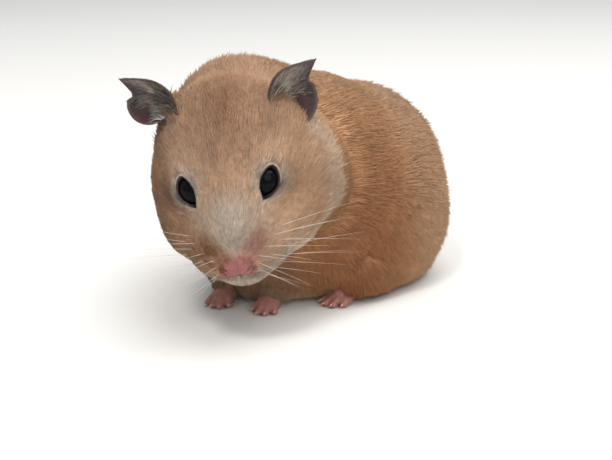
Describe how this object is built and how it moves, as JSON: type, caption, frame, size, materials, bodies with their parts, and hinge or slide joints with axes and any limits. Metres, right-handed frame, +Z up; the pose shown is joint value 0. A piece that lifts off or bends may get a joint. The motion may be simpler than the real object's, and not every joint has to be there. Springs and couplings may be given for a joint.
{
  "type": "syrian hamster",
  "caption": "Life-size still model of an apricot Syrian hamster, crouched on its belly with its head raised and turned to its left.",
  "frame": {"origin": "on the floor under the middle of the belly", "axes": "+Z up, +Y towards the tail along the body, +X to the animal's own left"},
  "size_m": [0.0594, 0.0935, 0.0613],
  "materials": {
    "coat": "soft dense apricot fur",
    "pale_coat": "soft cream fur",
    "bare_skin": "matt pink skin under thin short hairs",
    "ear_skin": "thin dark grey skin with fine down",
    "eye": "wet polished black",
    "claw": "satin translucent horn",
    "whisker": "stiff pale hairs"
  },
  "bodies": {
    "root": {"head": "coat", "muzzle": "pale_coat", "lower_jaw": "pale_coat", "nose": "bare_skin", "eye_left": "eye", "eye_right": "eye", "ear_left": "ear_skin", "ear_right": "ear_skin", "forepaw_left": "bare_skin", "foreleg_left": "pale_coat", "hindfoot_left": "bare_skin", "thigh_left": "coat", "forepaw_right": "bare_skin", "foreleg_right": "pale_coat", "hindfoot_right": "bare_skin", "thigh_right": "coat", "neck": "pale_coat", "trunk": "coat", "tail": "bare_skin"}
  },
  "joints": []
}
